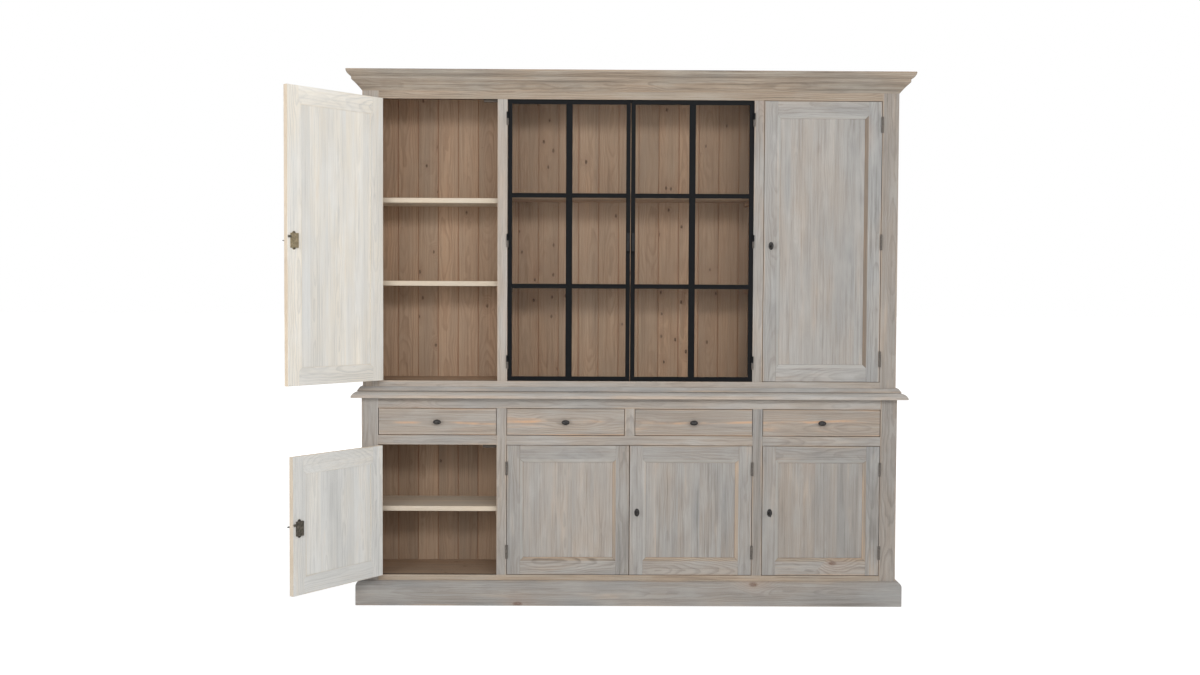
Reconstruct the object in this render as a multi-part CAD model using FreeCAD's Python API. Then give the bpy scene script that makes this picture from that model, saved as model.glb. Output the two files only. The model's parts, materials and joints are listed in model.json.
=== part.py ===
import FreeCAD, Part
import math
import os

# A two-part pine hutch. The lower cabinet has four panelled doors under four drawers. The upper cabinet
# has a panelled door at each side and a pair of steel-framed glass doors between them.
# Lengths are in millimetres and angles in degrees. X runs to the right, Y to the back and Z up.
# The origin is on the floor, midway along the width and midway through the lower cabinet's depth.
# The left door of each cabinet stands open, as it does when the hutch is shown in use.

# Plan of both cabinets
bay_width = 500.0
outer_stile_width = 70.0
inner_stile_width = 42.0
lower_depth = 340.0
upper_setback = 30.0

# Heights, from the floor up
plinth_height = 104.0
floor_reveal = 23.0
lower_door_opening = 554.0
drawer_rail_height = 40.0
drawer_opening = 115.0
worktop_rail_height = 44.0
worktop_thickness = 26.0
upper_rail_height = 44.0
upper_door_opening = 1190.0
frieze_reveal = 32.0
cornice_height = 84.0
frieze_lap = 60.0

# Boards
frame_thickness = 22.0
board_thickness = 20.0
deck_thickness = 16.0
shelf_thickness = 21.0
shelf_setback = 40.0
lower_shelf_rise = 286.0
upper_shelf_rises = (423.0, 776.0)
cleat_size = 18.0
cleat_setback = 12.0

# Back boards, close side by side with a small bevel along each front edge
back_thickness = 14.0
back_inset = 4.0
back_board_count = 25
back_bevel = 2.5

# Mouldings: overhang from the cabinet's face, and the steps of each profile
plinth_overhang = 24.0
plinth_round = 22.0
worktop_overhang = 40.0
worktop_top_overhang = 14.0
worktop_lip = 6.0
worktop_bulge = 5.0
base_height = 19.0
base_overhang = 21.0
base_top_overhang = 9.0
base_lip = 3.0
cornice_overhang = 60.0
cornice_top_lip = 5.0
cornice_step_overhang = 40.0
cornice_step_bottom = 43.0
cornice_step_top = 55.0
cornice_bulge = 4.0
cornice_cove = 1.5

# Panelled doors
door_thickness = 21.0
door_gap = 2.0
meeting_gap = 3.0
door_stile_width = 70.0
door_rail_width = 73.0
sticking_width = 14.0
sticking_depth = 9.0
panel_lip = 1.0
panel_thickness = 9.0
panel_tongue = 7.0
panel_room = 1.0
upper_left_opening = 129.5
lower_left_opening = 125.4
open_door_key_turn = 90.0

# Door stops
stop_thickness = 14.0
lower_stop_reach = 14.5
upper_stop_reach = 10.0
stop_length = 60.0

# Hinges: a lower knuckle with a standing pin on the frame, and an upper knuckle on the door
knuckle_radius = 4.75
knuckle_sides = 8
knuckle_clearance = 0.4
knuckle_end_gap = 0.3
hinge_leaf_thickness = 2.0
hinge_leaf_depth = 17.0
hinge_pin_radius = 2.4
hinge_pin_clearance = 0.05
hinge_pin_length_share = 0.75
hinge_bore_length_share = 0.8
upper_hinge_height = 67.0
lower_hinge_height = 57.0
steel_hinge_height = 56.0
wooden_hinge_inset = 99.0
steel_hinge_inset = 81.0

# Rim locks, on the inside of a door's free stile
lock_backset = 31.0
lock_width = 34.0
lock_height = 58.0
lock_depth = 10.0
lock_wall = 1.5
lock_ear_width = 16.0
lock_ear_thickness = 2.5
lower_lock_rise = 268.0
upper_lock_rise = 578.0
escutcheon_width = 22.0
escutcheon_height = 34.0
escutcheon_thickness = 1.5
keyhole_clearance = 0.5

# Keys and bolts
key_shank_radius = 2.8
key_tip_room = 1.5
key_bit_reach = 8.5
key_bit_thickness = 2.5
key_bit_length = 5.0
key_reach = 41.0
key_bow_length = 21.0
key_bow_width = 25.0
key_bow_thickness = 3.0
key_bow_corner = 7.0
key_bow_hole_length = 10.0
key_bow_hole_width = 14.0
key_bow_hole_corner = 4.0
key_bow_lap = 2.5
bolt_rise = 11.0
bolt_height = 9.0
bolt_thickness = 6.0
bolt_stand = 1.5
bolt_tail = 11.0
bolt_setback = 1.0
bolt_clearance = 0.4

# Steel doors
steel_depth = 22.0
steel_bar_width = 18.0
steel_mullion_width = 27.0
steel_glazing_bar_width = 19.0
steel_flange = 5.0
steel_rebate = 7.0
steel_web = 5.0
steel_web_depth = 12.0
steel_bar_rows = 3
glass_thickness = 4.0
glass_room = 1.0
pull_length = 76.0
pull_width = 12.0
pull_thickness = 7.0
pull_stand = 30.0
pull_post_height = 7.0
pull_rise = 590.0

# Drawers
drawer_gap = 2.0
drawer_front_thickness = 20.0
drawer_side_thickness = 12.0
drawer_side_gap = 12.0
drawer_side_height = 88.0
drawer_back_room = 14.0
drawer_bottom_thickness = 8.0
drawer_bottom_rise = 8.0
drawer_groove = 6.0
drawer_run_clearance = 0.3
guide_clearance = 0.5
guide_height = 20.0

# Drawer knobs: oval sections, as shares of the reach and of the full oval
knob_width = 34.0
knob_height = 24.0
knob_reach = 28.0
knob_section_shares = ((0.0, 0.42), (0.36, 0.34), (0.66, 1.0), (0.86, 0.88), (1.0, 0.55))

# Flat sides round each oval
oval_sides = 16

# How far a cutting shape runs past what it cuts
overrun = 5.0

# Levels
floor_level = plinth_height + floor_reveal
lower_door_top = floor_level + lower_door_opening
drawer_bottom = lower_door_top + drawer_rail_height
drawer_top = drawer_bottom + drawer_opening
lower_top = drawer_top + worktop_rail_height
worktop_level = lower_top + worktop_thickness
upper_floor_level = worktop_level + upper_rail_height
upper_door_top = upper_floor_level + upper_door_opening
cornice_level = upper_door_top + frieze_reveal
frieze_top = cornice_level + frieze_lap
top_deck_bottom = frieze_top - board_thickness
lower_lock_level = floor_level + lower_lock_rise
upper_lock_level = upper_floor_level + upper_lock_rise

# Places across the width and depth
bay_pitch = bay_width + inner_stile_width
half_width = outer_stile_width + bay_width + inner_stile_width + bay_width + inner_stile_width / 2
side_inner = half_width - board_thickness
bay_lefts = [outer_stile_width - half_width + bay * bay_pitch for bay in range(4)]
first_bay = (bay_lefts[0], bay_lefts[0] + bay_width)
second_bay = (bay_lefts[1], bay_lefts[1] + bay_width)
partition_centre = first_bay[1] + inner_stile_width / 2
partition = (partition_centre - board_thickness / 2, partition_centre + board_thickness / 2)
lower_front = -lower_depth / 2
upper_front = lower_front + upper_setback
back_edge = lower_depth / 2
back_face = back_edge - back_inset - back_thickness
lower_inside = (lower_front + frame_thickness, back_face)
upper_inside = (upper_front + frame_thickness, back_face)
spaces = ((-side_inner, partition[0]), (partition[1], -partition[1]), (-partition[0], side_inner))

up = FreeCAD.Vector(0, 0, 1)
across = FreeCAD.Vector(1, 0, 0)
inwards = FreeCAD.Vector(0, 1, 0)


def point(x, y, z):
    return FreeCAD.Vector(x, y, z)


def block(xs, ys, zs):
    """A board between three pairs of limits."""
    return Part.makeBox(xs[1] - xs[0], ys[1] - ys[0], zs[1] - zs[0], point(xs[0], ys[0], zs[0]))


def flat_face(points):
    return Part.Face(Part.makePolygon(points + points[:1]))


def prism(points, sweep):
    """A solid swept from a flat polygon."""
    return flat_face(points).extrude(sweep)


def stacked_rings(rings):
    """A solid with flat faces between rings of as many corners."""
    faces = [flat_face(rings[0]), flat_face(rings[-1])]
    for near, far in zip(rings, rings[1:]):
        for side in range(len(near)):
            faces.append(flat_face([near[side - 1], near[side], far[side], far[side - 1]]))
    return Part.makeSolid(Part.makeShell(faces))


def rod(radius, start, direction, length):
    """A round rod."""
    return Part.makeCylinder(radius, length, start, direction)


def oval_ring(width, height, centre):
    """The corners of a many-sided upright oval."""
    ring = []
    for side in range(oval_sides):
        turn = math.tau * side / oval_sides
        ring.append(centre + across * (width / 2 * math.cos(turn)) + up * (height / 2 * math.sin(turn)))
    return ring


def inset(limits, amount):
    """A pair of limits drawn in by an amount at both ends."""
    return (limits[0] + amount, limits[1] - amount)


def around(middle, length):
    """A pair of limits with a given middle and length."""
    return (middle - length / 2, middle + length / 2)


def mirrored(shape):
    """The shape on the other side of the hutch."""
    return shape.mirror(FreeCAD.Vector(), across)


def both_sides(shapes):
    return shapes + [mirrored(shape) for shape in shapes]


def turned(shape, centre, axis, angle):
    """A copy of the shape, turned about an axis."""
    copy = shape.copy()
    copy.rotate(centre, axis, angle)
    return copy


def save(name, shapes):
    """Write the solids of one node."""
    solids = [solid for shape in shapes for solid in shape.Solids]
    node = solids[0] if len(solids) == 1 else Part.makeCompound(solids)
    node.exportStep("parts/" + name + ".step")


# Mouldings

def bulged(start, end, bulge):
    """An arc step between two profile points. A positive bulge swells out, a negative one is hollow."""
    run = end[0] - start[0]
    rise = end[1] - start[1]
    length = (run * run + rise * rise) ** 0.5
    middle = ((start[0] + end[0]) / 2, (start[1] + end[1]) / 2)
    return ((middle[0] + bulge * rise / length, middle[1] - bulge * run / length), end)


def profile_face(steps, place):
    """A closed profile from the inner bottom corner. A step is a point, or an arc's middle and end."""
    edges = []
    start = place(0, 0)
    here = start
    for step in steps:
        is_arc = isinstance(step[0], tuple)
        end = place(*step[1]) if is_arc else place(*step)
        curve = Part.Arc(here, place(*step[0]), end) if is_arc else Part.LineSegment(here, end)
        edges.append(curve.toShape())
        here = end
    edges.append(Part.LineSegment(here, start).toShape())
    return Part.Face(Part.Wire(edges))


def mitred_moulding(steps, face, level, reach, height):
    """A moulding along the front and both sides, as a front piece and two returns."""

    def front_place(out, rise):
        return point(-half_width - reach, face - out, level + rise)

    def side_place(out, rise):
        return point(-half_width - out, face - reach, level + rise)

    far = reach + overrun
    corner = point(-half_width, face, level - overrun)
    outer = corner + point(-far, -far, 0)
    tall = up * (height + overrun + overrun)
    wide = far + overrun
    front_waste = prism([corner, outer, outer + inwards * wide, corner + inwards * overrun], tall)
    side_waste = prism([corner, outer, outer + across * wide, corner + across * overrun], tall)
    front = profile_face(steps, front_place).extrude(across * (2 * (half_width + reach)))
    front = front.cut([front_waste, mirrored(front_waste)])
    side = profile_face(steps, side_place).extrude(inwards * (back_edge - face + reach))
    return [front] + both_sides([side.cut(side_waste)])


def make_plinth():
    """The mitred plinth with a rounded top edge, and the bearers that carry the floor."""
    shoulder = (plinth_overhang, plinth_height - plinth_round)
    crown = (plinth_overhang - plinth_round, plinth_height)
    rounding = bulged(shoulder, crown, plinth_round * (1 - 0.5 ** 0.5))
    steps = [(plinth_overhang, 0), shoulder, rounding, (0, plinth_height)]
    pieces = mitred_moulding(steps, lower_front, 0, plinth_overhang, plinth_height)
    bearer_heights = (0, floor_level - board_thickness)
    for middle in (partition_centre, 0, -partition_centre):
        pieces.append(block(around(middle, board_thickness), lower_inside, bearer_heights))
    return pieces


def make_worktop():
    """One slab with a swelling edge along the front and both ends."""
    lip = (worktop_overhang, worktop_lip)
    brow = (worktop_top_overhang, worktop_thickness)
    steps = [(worktop_overhang, 0), lip, bulged(lip, brow, worktop_bulge), (0, worktop_thickness)]
    edges = mitred_moulding(steps, lower_front, lower_top, worktop_overhang, worktop_thickness)
    slab = block((-half_width, half_width), (lower_front, back_edge), (lower_top, worktop_level))
    return [slab.fuse(edges).removeSplitter()]


def make_base_moulding():
    """The sloped moulding that frames the foot of the upper cabinet."""
    steps = [(base_overhang, 0), (base_overhang, base_lip)]
    steps += [(base_top_overhang, base_height), (0, base_height)]
    return mitred_moulding(steps, upper_front, worktop_level, base_overhang, base_height)


def make_cornice():
    """A hollow slope, an upright step and a swelling brow under a thin top lip."""
    step_bottom = (cornice_step_overhang, cornice_step_bottom)
    step_top = (cornice_step_overhang, cornice_step_top)
    brow = (cornice_overhang, cornice_height - cornice_top_lip)
    slope = bulged((0, 0), step_bottom, -cornice_cove)
    swelling = bulged(step_top, brow, cornice_bulge)
    steps = [slope, step_top, swelling, (cornice_overhang, cornice_height), (0, cornice_height)]
    return mitred_moulding(steps, upper_front, cornice_level, cornice_overhang, cornice_height)


# Carcasses

def make_sides(inside, bottom, top):
    return both_sides([block((-half_width, -side_inner), (inside[0], back_edge), (bottom, top))])


def make_partitions(inside, bottom, top):
    return both_sides([block(partition, inside, (bottom, top))])


def make_back(bottom, top):
    """Upright boards whose bevelled edges make a groove at each joint."""
    pitch = 2 * side_inner / back_board_count
    rear = back_face + back_thickness
    boards = []
    for number in range(back_board_count):
        left = number * pitch - side_inner
        right = left + pitch
        outline = [(left, rear), (left, back_face + back_bevel), (left + back_bevel, back_face)]
        outline += [(right - back_bevel, back_face), (right, back_face + back_bevel), (right, rear)]
        boards.append(prism([point(x, y, bottom) for x, y in outline], up * (top - bottom)))
    return boards


def bar_levels():
    """Middle heights of the glazing bars, which part a glass door into equal rows."""
    bottom, top = inset((upper_floor_level, upper_door_top), door_gap + steel_bar_width)
    return [bottom + row * (top - bottom) / steel_bar_rows for row in range(1, steel_bar_rows)]


def shelf_places():
    """Each shelf's space and top level, with the depth limits and front of its cabinet."""
    places = [(space, floor_level + lower_shelf_rise, lower_inside, lower_front) for space in spaces]
    side_levels = [upper_floor_level + rise for rise in upper_shelf_rises]
    # The shelves behind the glass doors are hidden by the glazing bars.
    middle_levels = [level + shelf_thickness / 2 for level in bar_levels()]
    for space, levels in zip(spaces, (side_levels, middle_levels, side_levels)):
        places += [(space, level, upper_inside, upper_front) for level in levels]
    return places


def make_shelves():
    shelves = []
    for space, level, inside, front in shelf_places():
        depth = (front + shelf_setback, inside[1])
        shelves.append(block(space, depth, (level - shelf_thickness, level)))
    return shelves


def make_cleats():
    """A batten under each end of each shelf."""
    cleats = []
    for (left, right), level, inside, front in shelf_places():
        depth = (front + shelf_setback + cleat_setback, inside[1])
        heights = (level - shelf_thickness - cleat_size, level - shelf_thickness)
        cleats.append(block((left, left + cleat_size), depth, heights))
        cleats.append(block((right - cleat_size, right), depth, heights))
    return cleats


def make_runners():
    """A deck under the drawers of each space, with guides that keep the drawers straight."""
    deck_heights = (drawer_bottom - deck_thickness, drawer_bottom)
    runners = [block(space, lower_inside, deck_heights) for space in spaces]
    guide = drawer_side_gap - guide_clearance
    for left in bay_lefts:
        right = left + bay_width
        for limits in ((left, left + guide), (right - guide, right)):
            runners.append(block(limits, lower_inside, (drawer_bottom, drawer_bottom + guide_height)))
    return runners


def make_stops():
    """Strips behind the top rails that the doors close on: a short one at each side, a long one between."""
    lower_heights = (lower_door_top - lower_stop_reach, drawer_bottom - deck_thickness)
    upper_heights = (upper_door_top - upper_stop_reach, upper_door_top + stop_thickness)
    stops = []
    for inside, heights in ((lower_inside, lower_heights), (upper_inside, upper_heights)):
        depth = (inside[0], inside[0] + stop_thickness)
        stops += both_sides([block((first_bay[1] - stop_length, partition[0]), depth, heights)])
        stops.append(block(spaces[1], depth, heights))
    return stops


# Hinges

def hinge_levels(bottom, top, end_inset, count):
    """Middle heights of a door's hinges, spread evenly between the end ones."""
    step = (top - bottom - 2 * end_inset) / (count - 1)
    return [bottom + end_inset + number * step for number in range(count)]


lower_hinges = hinge_levels(floor_level, lower_door_top, wooden_hinge_inset, 2)
upper_hinges = hinge_levels(upper_floor_level, upper_door_top, wooden_hinge_inset, 3)
steel_hinges = hinge_levels(upper_floor_level, upper_door_top, steel_hinge_inset, 3)


def pin_place(edge, front):
    """The pin's place in plan, in front of the gap beside the opening's edge."""
    return (edge + door_gap / 2, front - knuckle_radius - knuckle_clearance)


def knuckle(radius, pin, heights):
    """A many-sided rod round the pin's axis, with its corners at the radius."""
    corners = []
    for side in range(knuckle_sides):
        turn = math.tau * side / knuckle_sides
        corner = (pin[0] + radius * math.cos(turn), pin[1] + radius * math.sin(turn))
        corners.append(point(*corner, heights[0]))
    return prism(corners, up * (heights[1] - heights[0]))


def hinge_half(leaf_limits, pin, front, leaf_heights, knuckle_heights):
    """A leaf let into an edge, joined to its knuckle by a strap."""
    leaf = block(leaf_limits, (front, front + hinge_leaf_depth), leaf_heights)
    strap = block(leaf_limits, (pin[1], front), knuckle_heights)
    return leaf.fuse([strap, knuckle(knuckle_radius, pin, knuckle_heights)])


def frame_hinge_half(edge, front, level, height):
    """The lower half, on the frame, with the pin that the door's half drops on."""
    pin = pin_place(edge, front)
    leaf_limits = (edge - hinge_leaf_thickness, edge)
    leaf_heights = around(level, height)
    half = hinge_half(leaf_limits, pin, front, leaf_heights, (leaf_heights[0], level))
    pin_length = height / 2 * hinge_pin_length_share
    pin_rod = rod(hinge_pin_radius, point(pin[0], pin[1], level), up, pin_length)
    return half.fuse(pin_rod).removeSplitter()


def door_hinge_half(edge, front, level, height):
    """The upper half, on the door, bored from below for the pin."""
    pin = pin_place(edge, front)
    leaf_limits = (edge + door_gap, edge + door_gap + hinge_leaf_thickness)
    leaf_heights = around(level, height)
    half = hinge_half(leaf_limits, pin, front, leaf_heights, (level + knuckle_end_gap, leaf_heights[1]))
    bore_length = height / 2 * hinge_bore_length_share
    bore_radius = (hinge_pin_radius + hinge_pin_clearance) / math.cos(math.pi / knuckle_sides)
    return half.cut(knuckle(bore_radius, pin, (level, level + bore_length))).removeSplitter()


def leaf_recesses(leaf_limits, front, levels, height):
    depth = (front, front + hinge_leaf_depth)
    return [block(leaf_limits, depth, around(level, height)) for level in levels]


def make_frame_hinges():
    halves = []
    for edge, front, levels, height in (
            (first_bay[0], lower_front, lower_hinges, lower_hinge_height),
            (second_bay[0], lower_front, lower_hinges, lower_hinge_height),
            (first_bay[0], upper_front, upper_hinges, upper_hinge_height),
            (second_bay[0], upper_front, steel_hinges, steel_hinge_height)):
        halves += [frame_hinge_half(edge, front, level, height) for level in levels]
    return both_sides(halves)


# Face frames

def make_stiles(front, outer_heights, inner_heights, outer_hinges, inner_hinges):
    """The outer stiles and the two at the partitions, each recessed for its hinges."""
    depth = (front, front + frame_thickness)
    stiles = []
    for limits, heights, hinges in (
            ((-half_width, first_bay[0]), outer_heights, outer_hinges),
            ((first_bay[1], second_bay[0]), inner_heights, inner_hinges)):
        leaf_limits = (limits[1] - hinge_leaf_thickness, limits[1])
        stile = block(limits, depth, heights)
        stiles.append(stile.cut(leaf_recesses(leaf_limits, front, *hinges)))
    return both_sides(stiles)


def make_lower_frame():
    hinges = (lower_hinges, lower_hinge_height)
    pieces = make_stiles(lower_front, (0, lower_top), (floor_level, drawer_top), hinges, hinges)
    depth = (lower_front, lower_front + frame_thickness)
    long_rail = (first_bay[0], -first_bay[0])
    pieces.append(block(long_rail, depth, (0, floor_level)))
    pieces.append(block(long_rail, depth, (drawer_top, lower_top)))
    for limits in (first_bay, (second_bay[0], -second_bay[0]), (-first_bay[1], -first_bay[0])):
        pieces.append(block(limits, depth, (lower_door_top, drawer_bottom)))
    pieces.append(block(around(0, inner_stile_width), depth, (drawer_bottom, drawer_top)))
    return pieces


def make_upper_frame():
    outer = (upper_hinges, upper_hinge_height)
    inner = (steel_hinges, steel_hinge_height)
    inner_heights = (upper_floor_level, upper_door_top)
    pieces = make_stiles(upper_front, (worktop_level, frieze_top), inner_heights, outer, inner)
    depth = (upper_front, upper_front + frame_thickness)
    long_rail = (first_bay[0], -first_bay[0])
    pieces.append(block(long_rail, depth, (worktop_level, upper_floor_level)))
    pieces.append(block(long_rail, depth, (upper_door_top, frieze_top)))
    return pieces


# Panelled doors

def rectangle(xs, y, zs):
    places = [(0, 0), (1, 0), (1, 1), (0, 1), (0, 0)]
    return Part.makePolygon([point(xs[i], y, zs[j]) for i, j in places])


def door_cuts(xs, zs, front):
    """The opening of a door's frame, its sloped sticking and the groove that holds the panel."""
    opening = (inset(xs, door_stile_width), inset(zs, door_rail_width))
    flat = (inset(opening[0], -sticking_width), inset(opening[1], -sticking_width))
    groove = panel_tongue + panel_room
    through = block(opening[0], (front - overrun, front + door_thickness + overrun), opening[1])
    sticking_back = rectangle(opening[0], front + sticking_depth, opening[1])
    sticking = Part.makeLoft([rectangle(flat[0], front, flat[1]), sticking_back], True, True)
    slot = block(inset(opening[0], -groove), panel_depth(front), inset(opening[1], -groove))
    return [through, sticking, slot]


def panel_depth(front):
    face = front + sticking_depth + panel_lip
    return (face, face + panel_thickness)


def make_panel(xs, zs, front):
    panel_xs = inset(xs, door_stile_width - panel_tongue)
    panel_zs = inset(zs, door_rail_width - panel_tongue)
    return block(panel_xs, panel_depth(front), panel_zs)


def stile_region(edge, sense, zs, front):
    """What a stile takes of the frame: its flat width at the rails, mitred across the sticking."""
    flat_edge = edge + sense * (door_stile_width - sticking_width)
    full_edge = edge + sense * door_stile_width
    flat_zs = inset(zs, door_rail_width - sticking_width)
    full_zs = inset(zs, door_rail_width)
    outline = [(edge, zs[0]), (flat_edge, zs[0]), (flat_edge, flat_zs[0]), (full_edge, full_zs[0])]
    outline += [(full_edge, full_zs[1]), (flat_edge, flat_zs[1]), (flat_edge, zs[1]), (edge, zs[1])]
    return prism([point(x, front, z) for x, z in outline], inwards * door_thickness)


def make_door(opening, right_gap, zs, front, hinges, lock_level=None, key_turn=0):
    """A closed door hung on its left edge: its pieces by name, each a list of solids."""
    levels, leaf_height = hinges
    xs = (opening[0] + door_gap, opening[1] - right_gap)
    zs = inset(zs, door_gap)
    leaf_limits = (xs[0], xs[0] + hinge_leaf_thickness)
    cuts = door_cuts(xs, zs, front) + leaf_recesses(leaf_limits, front, levels, leaf_height)
    fittings = [door_hinge_half(opening[0], front, level, leaf_height) for level in levels]
    door = {"fittings": fittings, "panel": [make_panel(xs, zs, front)]}
    if lock_level is not None:
        lock_axis = point(xs[1] - lock_backset, front, lock_level)
        key = make_key(lock_axis.x, lock_level, front)
        cuts.append(key_mortice(lock_axis.x, lock_level, front))
        fittings += [make_lock_case(xs[1], lock_level, front), make_escutcheon(xs[1], lock_level, front)]
        door["bolt"] = [make_bolt(xs[1], lock_level, front)]
        door["key"] = [turned(key, lock_axis, inwards, key_turn)]
    ring = block(xs, (front, front + door_thickness), zs).cut(cuts)
    stiles = [stile_region(xs[0], 1, zs, front), stile_region(xs[1], -1, zs, front)]
    door["frame"] = [ring.common(stile) for stile in stiles] + [ring.cut(stiles)]
    return door


# Rim locks, keys and bolts

def keyhole_limits(axis_x, level):
    """Width and height limits of a keyhole that clears the shank and the bit below it."""
    radius = key_shank_radius + keyhole_clearance
    return around(axis_x, 2 * radius), (level - key_bit_reach - keyhole_clearance, level + radius)


def key_mortice(axis_x, level, front):
    """A square-cornered way for the key, right through the stile."""
    xs, zs = keyhole_limits(axis_x, level)
    return block(xs, (front - overrun, front + door_thickness + overrun), zs)


def make_escutcheon(edge, level, front):
    """An oval plate on the stile, with a keyhole that draws in at the top."""
    axis_x = edge - lock_backset
    face = front - escutcheon_thickness
    ring = oval_ring(escutcheon_width, escutcheon_height, point(axis_x, face, level))
    plate = prism(ring, inwards * escutcheon_thickness)
    xs, zs = keyhole_limits(axis_x, level)
    corner = keyhole_clearance + keyhole_clearance
    brow = inset(xs, corner)
    outline = [(xs[0], zs[0]), (xs[1], zs[0]), (xs[1], zs[1] - corner), (brow[1], zs[1])]
    outline += [(brow[0], zs[1]), (xs[0], zs[1] - corner)]
    hole = prism([point(x, face, z) for x, z in outline], inwards * escutcheon_thickness)
    return plate.cut(hole)


def bolt_limits(edge, level, front):
    depth = front + door_thickness + bolt_stand
    xs = (edge - lock_backset - bolt_tail, edge - bolt_setback)
    bottom = level + bolt_rise
    return xs, (depth, depth + bolt_thickness), (bottom, bottom + bolt_height)


def make_bolt(edge, level, front):
    return block(*bolt_limits(edge, level, front))


def make_lock_case(edge, level, front):
    """A thin case open to the door, with a rounded ear at each end and a slot for the bolt."""
    axis_x = edge - lock_backset
    inner = front + door_thickness
    xs = around(axis_x, lock_width)
    zs = around(level, lock_height)
    ear_rings = [oval_ring(lock_ear_width, lock_ear_width, point(axis_x, inner, z)) for z in zs]
    ears = [prism(ring, inwards * lock_ear_thickness) for ring in ear_rings]
    case = block(xs, (inner, inner + lock_depth), zs).fuse(ears).removeSplitter()
    hollow_ys = (inner - overrun, inner + lock_depth - lock_wall)
    hollow = block(inset(xs, lock_wall), hollow_ys, inset(zs, lock_wall))
    bolt_xs, bolt_ys, bolt_zs = bolt_limits(edge, level, front)
    slot = block((axis_x, edge), inset(bolt_ys, -bolt_clearance), inset(bolt_zs, -bolt_clearance))
    return case.cut([hollow, slot])


def clipped_plate(centre, ys, zs, corner, thickness):
    """An upright plate with its four corners cut off."""
    inner_ys = inset(ys, corner)
    inner_zs = inset(zs, corner)
    outline = [(inner_ys[0], zs[0]), (inner_ys[1], zs[0]), (ys[1], inner_zs[0]), (ys[1], inner_zs[1])]
    outline += [(inner_ys[1], zs[1]), (inner_ys[0], zs[1]), (ys[0], inner_zs[1]), (ys[0], inner_zs[0])]
    left = centre - thickness / 2
    return prism([point(left, y, z) for y, z in outline], across * thickness)


def make_key(axis_x, level, front):
    """A shank with a ring for a bow and a flat bit that hangs down."""
    inner = front + door_thickness
    tip = inner + lock_depth - lock_wall - key_tip_room
    bow_ys = (front - key_reach, front - key_reach + key_bow_length)
    hole_ys = around(sum(bow_ys) / 2, key_bow_hole_length)
    bow = clipped_plate(axis_x, bow_ys, around(level, key_bow_width), key_bow_corner, key_bow_thickness)
    hole_zs = around(level, key_bow_hole_width)
    hole = clipped_plate(axis_x, hole_ys, hole_zs, key_bow_hole_corner, key_bow_thickness)
    shank_start = bow_ys[1] - key_bow_lap
    shank = rod(key_shank_radius, point(axis_x, shank_start, level), inwards, tip - shank_start)
    bit_heights = (level - key_bit_reach, level)
    bit = block(around(axis_x, key_bit_thickness), (tip - key_bit_length, tip), bit_heights)
    return shank.fuse([bow.cut(hole), bit])


# Steel doors

def lipped_bar(corner, width, along):
    """A bar along one edge of a leaf: full width in front, with a rebate for the glass behind."""
    narrow = width * (1 - steel_rebate / steel_bar_width)
    front_back = inwards * steel_flange
    full_back = inwards * steel_depth
    outline = [corner, corner + width, corner + width + front_back, corner + narrow + front_back]
    outline += [corner + narrow + full_back, corner + full_back]
    return prism(outline, along)


def tee_bar(middle, side, flange_width, along):
    """A glazing bar: a flat flange in front of the glass and a web between two panes."""
    half_flange = side * (flange_width / 2)
    half_web = side * (steel_web / 2)
    web_front = middle + inwards * steel_flange
    web_back = web_front + inwards * steel_web_depth
    outline = [middle - half_flange, middle + half_flange, web_front + half_flange, web_front + half_web]
    outline += [web_back + half_web, web_back - half_web, web_front - half_web, web_front - half_flange]
    return prism(outline, along)


def make_glass_door():
    """The closed left leaf of the steel pair: bars, panes, hinge halves and pull."""
    front = upper_front
    xs = (second_bay[0] + door_gap, -meeting_gap / 2)
    zs = inset((upper_floor_level, upper_door_top), door_gap)
    width = steel_bar_width
    inner_xs = inset(xs, width)
    inner_zs = inset(zs, width)
    tall = up * (zs[1] - zs[0])
    wide = across * (inner_xs[1] - inner_xs[0])
    leaf_limits = (xs[0], xs[0] + hinge_leaf_thickness)
    hinge_stile = lipped_bar(point(xs[0], front, zs[0]), across * width, tall)
    hinge_stile = hinge_stile.cut(leaf_recesses(leaf_limits, front, steel_hinges, steel_hinge_height))
    bars = [hinge_stile, lipped_bar(point(xs[1], front, zs[0]), across * -width, tall)]
    bars.append(lipped_bar(point(inner_xs[0], front, zs[0]), up * width, wide))
    bars.append(lipped_bar(point(inner_xs[0], front, zs[1]), up * -width, wide))
    middle = sum(xs) / 2
    rise = up * (inner_zs[1] - inner_zs[0])
    bars.append(tee_bar(point(middle, front, inner_zs[0]), across, steel_mullion_width, rise))
    levels = bar_levels()
    half_mullion = steel_mullion_width / 2
    for limits in ((inner_xs[0], middle - half_mullion), (middle + half_mullion, inner_xs[1])):
        length = across * (limits[1] - limits[0])
        bars += [tee_bar(point(limits[0], front, z), up, steel_glazing_bar_width, length) for z in levels]
    bars += [door_hinge_half(second_bay[0], front, level, steel_hinge_height) for level in steel_hinges]
    bars += make_pull(xs[1] - width / 2, upper_floor_level + pull_rise, front)
    panes = make_panes((inner_xs[0], middle, inner_xs[1]), [inner_zs[0]] + levels + [inner_zs[1]], front)
    return {"frame": bars, "panes": panes}


def make_panes(columns, rows, front):
    """Panes behind the flanges, reaching into the rebates at the edges and up to the webs between."""
    depth = (front + steel_flange, front + steel_flange + glass_thickness)
    at_edge = glass_room - steel_rebate
    at_web = steel_web / 2 + glass_room
    panes = []
    for column in range(len(columns) - 1):
        left = columns[column] + (at_edge if column == 0 else at_web)
        right = columns[column + 1] - (at_edge if column == len(columns) - 2 else at_web)
        for row in range(len(rows) - 1):
            bottom = rows[row] + (at_edge if row == 0 else at_web)
            top = rows[row + 1] - (at_edge if row == len(rows) - 2 else at_web)
            panes.append(block((left, right), depth, (bottom, top)))
    return panes


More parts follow.
